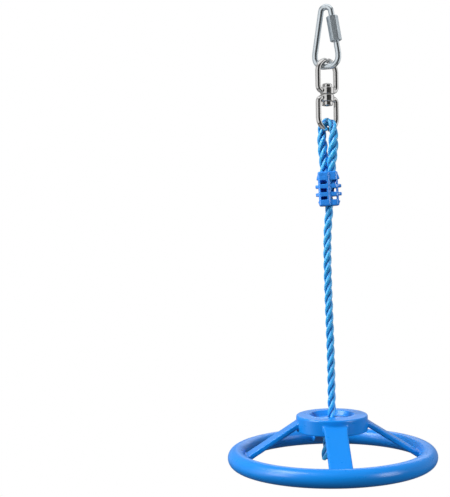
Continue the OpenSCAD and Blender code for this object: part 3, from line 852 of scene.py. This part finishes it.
def make_link():
    corner_y, ease_y, ease_cx, slant, p0, p1 = link_geometry()
    leg = math.dist(p0, p1)
    dx, dy = (p1[0] - p0[0]) / leg, (p1[1] - p0[1]) / leg
    at = lambda q: (p0[0] + dx * q, p0[1] + dy * q)
    # from the end of the upper stub, up over the top bend, down the plain side and back up to the lower stub
    line = [at(STUB_S), at(STUB_S - 0.5)]
    n_stub = 2
    line = [at(q) for q in np.arange(STUB_S, 0.5, -0.25)]
    line += arc(0, LINK_TOP_C, LINK_TOP_R, slant, 180 - slant, 40)
    line += [(-at(q)[0], at(q)[1]) for q in np.arange(1.0, leg, 1.5)]
    line += [(-a, b) for a, b in arc(ease_cx, ease_y, LINK_EASE_R, slant, 0, 8)]
    line += [(-a, b) for a, b in arc(LINK_HW - LINK_CORNER_R, corner_y, LINK_CORNER_R, 0, -90, 28)]
    line += [(q, -LINK_DEPTH) for q in np.linspace(-(LINK_HW - LINK_CORNER_R) + 1, LINK_HW - LINK_CORNER_R - 1, 5)]
    line += arc(LINK_HW - LINK_CORNER_R, corner_y, LINK_CORNER_R, -90, 0, 28)
    line += arc(ease_cx, ease_y, LINK_EASE_R, 0, slant, 8)
    line += [at(q) for q in np.arange(leg - 1.0, GAP_S + 25, -1.0)]
    line += [at(q) for q in np.arange(GAP_S + 25, GAP_S - 0.01, -0.25)]
    keep = [line[0]]
    for p in line[1:]:
        if math.dist(p, keep[-1]) > 0.12:
            keep.append(p)
    p = np.array(keep)
    d = np.concatenate([[0], np.cumsum(np.linalg.norm(np.diff(p, axis=0), axis=1))])
    t = np.gradient(p, axis=0)
    t /= np.linalg.norm(t, axis=1)[:, None]
    nrm = np.stack([-t[:, 1], t[:, 0]], 1)
    sides = 48 if FINE else 24
    phi = np.linspace(0, 2 * math.pi, sides, endpoint=False)
    r = np.full((len(p), sides), LINK_R)
    pitch = 1.25

    def thread(dist_from_end, span):
        """Thread depth, running out smoothly away from the stub's end."""
        fade = np.clip((span - dist_from_end) / 1.5, 0, 1)
        phase = (dist_from_end[:, None] / pitch + phi[None, :] / (2 * math.pi)) % 1
        return 0.42 * fade[:, None] * np.abs(2 * phase - 1) + 0.03 * fade[:, None]

    on_top = d < 4.6
    r[on_top] -= thread(d[on_top], 4.4)
    tail = d[-1] - d
    on_low = tail < 24
    r[on_low] -= thread(tail[on_low], 22.5)
    # small chamfers at the two stub ends
    for q in (d, tail):
        r = np.minimum(r, (LINK_R - 0.6 + np.clip(q, 0, 0.6))[:, None])
    pts = p[:, None, :] + (r * np.cos(phi))[..., None] * nrm[:, None, :]
    out = r * np.sin(phi)
    flat = np.concatenate([pts, out[..., None]], -1).reshape(-1, 3)
    ob = to_object("quick_link_rod", upright(flat, LINK_YAW), tube_faces(len(p), sides), angle=50)
    fix_normals(ob)
    ob.data.materials.append(MAT["zinc"])
    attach(ob, "quick_link")
    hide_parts("quick_link_body")

    # the screw sleeve, a hexagon with turned ends
    corner = SLEEVE_AF / math.sqrt(3)
    L = SLEEVE_LEN
    m = 96
    verts, rings = [], []
    profile = []
    for k in range(m):
        a = 2 * math.pi * k / m
        w = (a % (math.pi / 3)) - math.pi / 6
        R = SLEEVE_AF / 2 / math.cos(w)
        R = min(R, corner - 0.12)
        z = max(0.0, 0.62 * (R - (corner - 0.98)))
        profile.append((R, z))
    rows = [
        lambda R, z: (LINK_R + 0.06, 1.1), lambda R, z: (4.35, 0.12), lambda R, z: (4.6, 0.0), lambda R, z: (6.05, 0.0),
        lambda R, z: (min(R, 6.19), 0.02), lambda R, z: (R - 0.10, z + 0.02), lambda R, z: (R, z + 0.16),
        lambda R, z: (R, L / 2), lambda R, z: (R, L - z - 0.16), lambda R, z: (R - 0.10, L - z - 0.02), lambda R, z: (min(R, 6.19), L - 0.02),
        lambda R, z: (6.05, L), lambda R, z: (4.6, L), lambda R, z: (4.35, L - 0.12), lambda R, z: (LINK_R + 0.06, L - 1.1),
        lambda R, z: (LINK_R + 0.06, L / 2),
    ]
    verts = []
    for row in rows:
        for k in range(m):
            a = 2 * math.pi * k / m + math.radians(LINK_YAW)
            q, z = row(*profile[k])
            verts.append((q * math.cos(a), -z, q * math.sin(a)))
    faces = []
    for i in range(len(rows)):
        for k in range(m):
            a, b = i * m + k, i * m + (k + 1) % m
            c = ((i + 1) % len(rows)) * m
            faces.append((a, b, c + (k + 1) % m, c + k))
    v = np.array(verts)
    # turn by the leg's slant, then move to the sleeve's top on the leg
    a = math.radians(slant)
    x = v[:, 0] * math.cos(a) - v[:, 1] * math.sin(a) + p0[0] + SLEEVE_S * math.sin(a)
    y = v[:, 0] * math.sin(a) + v[:, 1] * math.cos(a) + p0[1] - SLEEVE_S * math.cos(a)
    sleeve = to_object("quick_link_screw_sleeve", upright(np.stack([x, y, v[:, 2]], 1), LINK_YAW), faces, angle=22)
    fix_normals(sleeve)
    sleeve.data.materials.append(MAT["zinc_nut"])
    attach(sleeve, "link_sleeve")
    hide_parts("quick_link_sleeve")


# ---------------------------------------------------------------- swivel


def eye_function(arch_y, bore, flip):
    """One eye with its boss. flip mirrors it about the joint plane."""
    line = arc(0, arch_y - EYE_HW, EYE_HW, 0, 180, 28)
    half = [(EYE_HW, EYE_CORNER_Z)] + arc(EYE_HW - EYE_CORNER_R, EYE_CORNER_Z, EYE_CORNER_R, 0, -75, 8)
    half.append((half[-1][0] - 4.6 * math.cos(math.radians(15)), half[-1][1] - 4.6 * math.sin(math.radians(15))))
    route = [(p[0], p[1]) for p in reversed(half)] + line + [(-p[0], p[1]) for p in half]
    lo, hi = JOINT_Z + BOSS_GAP, JOINT_Z + BOSS_GAP + BOSS_H

    def f(x, y, z):
        x, y = turned(x, y, EYE_YAW)
        if flip:
            z = 2 * JOINT_Z - z
        rod = rod_distance(x, z, y, route) - EYE_R
        r = np.hypot(x, y)
        a, b = r - BOSS_R + 0.9, np.abs(z - (lo + hi) / 2) - BOSS_H / 2 + 0.9
        boss = np.hypot(np.maximum(a, 0), np.maximum(b, 0)) + np.minimum(np.maximum(a, b), 0) - 0.9
        d = smin(rod, boss, 1.6)
        d = np.maximum(d, lo - z)
        return smax(d, bore - r, 0.25)

    return f


def make_swivel():
    h = 0.42 if FINE else 0.8
    upper = solid("swivel_eye_upper", eye_function(EYE_TOP, 3.12, False), (-14, -12, -102), (14, 12, -56.6), h)
    lower = solid("swivel_eye_lower", eye_function(2 * JOINT_Z - LOWER_BAR_Z, 3.17, True), (-14, -12, -146.2), (14, 12, -100), h)
    head_z = JOINT_Z + BOSS_GAP + BOSS_H
    foot_z = JOINT_Z - BOSS_GAP - BOSS_H - 0.3 - 4.5
    # a peened, domed head on the pin
    profile = [(0, foot_z - 0.7), (2.2, foot_z - 0.7), (3.1, foot_z), (3.1, head_z), (5.6, head_z + 0.02), (6.0, head_z + 0.2), (6.15, head_z + 0.6), (6.15, head_z + 2.6)]
    profile += [(6.15 - 2.4 * (1 - math.cos(a)), head_z + 2.6 + 2.1 * math.sin(a)) for a in np.linspace(0.15, math.pi / 2 - 0.12, 8)]
    profile += [(2.6, head_z + 5.05), (1.6, head_z + 5.25), (0.8, head_z + 5.36), (0, head_z + 5.4)]
    v, fc = lathe(profile, 96)
    pin = to_object("swivel_pin_peened", v, fc, angle=40)
    fix_normals(pin)
    c = foot_z
    profile = soften([(3.12, c), (6.7, c), (6.7, c + 4.5), (3.12, c + 4.5)], [0.3, 0.8, 0.5, 0.3], 5)
    v, fc = lathe(profile, 96)
    collar = to_object("swivel_collar_ring", v, fc, angle=40)
    fix_normals(collar)
    for ob, node_name, body in (
        (upper, "swivel_upper_eye", "swivel_top"),
        (lower, "swivel_lower_eye", "swivel_bottom"),
        (pin, "swivel_pin", "swivel_top"),
        (collar, "swivel_collar", "swivel_top"),
    ):
        ob.data.materials.append(MAT["stainless"])
        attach(ob, body)
        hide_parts(node_name)


# ---------------------------------------------------------------- floor and light


def make_stage():
    bpy.ops.mesh.primitive_plane_add(size=30, location=(0, 0, -1.15))
    floor = bpy.context.object
    floor.name = "floor"
    m, nt, bsdf = new_material("floor_white")
    bsdf.inputs["Base Color"].default_value = (0.0, 0.0, 0.0, 1)
    bsdf.inputs["Roughness"].default_value = 1.0
    bsdf.inputs["Specular IOR Level"].default_value = 0.0
    bsdf.inputs["Emission Color"].default_value = (1, 1, 1, 1)
    bsdf.inputs["Emission Strength"].default_value = 1.0
    floor.data.materials.append(m)
    floor.visible_diffuse = False
    floor.visible_glossy = False
    floor.visible_shadow = False

    world = bpy.data.worlds.new("studio")
    bpy.context.scene.world = world
    world.use_nodes = True
    nt = world.node_tree
    for n in list(nt.nodes):
        nt.nodes.remove(n)
    out = nt.nodes.new("ShaderNodeOutputWorld")
    seen = nt.nodes.new("ShaderNodeBackground")
    seen.inputs["Color"].default_value = (1, 1, 1, 1)
    seen.inputs["Strength"].default_value = 1.0
    light = nt.nodes.new("ShaderNodeBackground")
    tc = nt.nodes.new("ShaderNodeTexCoord")
    sep = nt.nodes.new("ShaderNodeSeparateXYZ")
    nt.links.new(tc.outputs["Generated"], sep.inputs["Vector"])
    x, y, z = sep.outputs

    def edge(value, a, b):
        n = nt.nodes.new("ShaderNodeMapRange")
        n.interpolation_type = "SMOOTHSTEP"
        n.inputs["From Min"].default_value, n.inputs["From Max"].default_value = min(a, b), max(a, b)
        n.inputs["To Min"].default_value, n.inputs["To Max"].default_value = (0, 1) if a < b else (1, 0)
        nt.links.new(value, n.inputs["Value"])
        return n.outputs["Result"]

    def less(a):
        return math_node(nt, "SUBTRACT", 1.0, a)

    def times(a, b):
        return math_node(nt, "MULTIPLY", a, b)

    up, low = edge(z, 0.45, 0.75), edge(z, -0.05, -0.35)
    middle = times(less(up), less(low))
    back = edge(y, -0.1, 0.3)
    left, right = times(less(back), edge(x, -0.35, -0.7)), times(less(back), edge(x, 0.35, 0.7))
    front = times(times(less(back), less(left)), less(right))
    parts = [(up, 0.42), (low, 0.13), (times(middle, back), 0.50), (times(middle, left), 0.12), (times(middle, right), 0.08), (times(middle, front), 0.05)]
    total = None
    for part, strength in parts:
        part = times(part, strength)
        total = part if total is None else math_node(nt, "ADD", total, part)
    nt.links.new(total, light.inputs["Strength"])
    path = nt.nodes.new("ShaderNodeLightPath")
    mix = nt.nodes.new("ShaderNodeMixShader")
    nt.links.new(path.outputs["Is Camera Ray"], mix.inputs["Fac"])
    nt.links.new(light.outputs["Background"], mix.inputs[1])
    nt.links.new(seen.outputs["Background"], mix.inputs[2])
    nt.links.new(mix.outputs["Shader"], out.inputs["Surface"])

    def area(name, place, aim, size, power, colour=(1, 1, 1)):
        data = bpy.data.lights.new(name, "AREA")
        data.shape = "RECTANGLE"
        data.size, data.size_y = size
        data.energy = power
        data.color = colour
        ob = bpy.data.objects.new(name, data)
        bpy.context.scene.collection.objects.link(ob)
        ob.location = place
        ob.rotation_mode = "QUATERNION"
        ob.rotation_quaternion = (Vector(aim) - Vector(place)).to_track_quat("-Z", "Y")
        ob.visible_camera = False
        return ob

    def receivers(word, chosen):
        coll = bpy.data.collections.new(word)
        for ob in chosen:
            coll.objects.link(ob)
        return coll

    metal = (MAT["zinc"], MAT["zinc_nut"], MAT["stainless"])
    solids = [ob for ob in bpy.context.scene.objects if ob.type == "MESH" and ob.data.materials and ob.data.materials[0] in MAT.values()]
    on_metal = receivers("metal_receivers", [ob for ob in solids if ob.data.materials[0] in metal])
    on_rest = receivers("other_receivers", [ob for ob in solids if ob.data.materials[0] not in metal])

    for light in (
        area("key_left", (-1.9, -1.05, 0.35), (0, 0, -0.3), (0.9, 1.3), 28),
        area("left_high", (-1.0, -0.35, 0.95), (0, 0, -0.45), (0.8, 0.8), 23),
        area("left_side", (-1.6, -0.3, -0.3), (0, 0, -0.3), (0.8, 1.4), 4),
        area("fill_right", (1.8, -1.0, 0.15), (0, 0, -0.3), (0.7, 1.2), 24),
        area("rim_back", (0.3, 1.9, 0.6), (0, 0, -0.3), (1.6, 0.8), 7),
    ):
        light.light_linking.receiver_collection = on_rest
    # broad dim panels for the metalwork, with a dark gap between them to the right of the front
    for light in (
        area("panel_left", (-0.86, -0.86, -0.05), (0, 0, -0.08), (1.9, 1.8), 9.6),
        area("panel_right", (1.15, 0.12, -0.05), (0, 0, -0.08), (1.1, 1.6), 4.8),
        area("panel_top", (0, 0, 1.2), (0, 0, 0), (2.0, 2.0), 11.0),
        area("panel_behind", (-0.95, 0.75, -0.05), (0, 0, -0.08), (1.3, 1.8), 3.4),
        area("panel_below", (0, -0.2, -1.1), (0, 0, -0.1), (1.4, 1.4), 2.4),
    ):
        light.light_linking.receiver_collection = on_metal


make_wheel()
make_clamp()
lengths = make_rope()
make_link()
make_swivel()
make_stage()
print("ROPE_LENGTHS", lengths)

scene = bpy.context.scene
scene.view_settings.view_transform = "Standard"
scene.view_settings.look = "None"
scene.view_settings.exposure = 0.0
scene.view_settings.gamma = 1.0

bpy.context.view_layer.update()
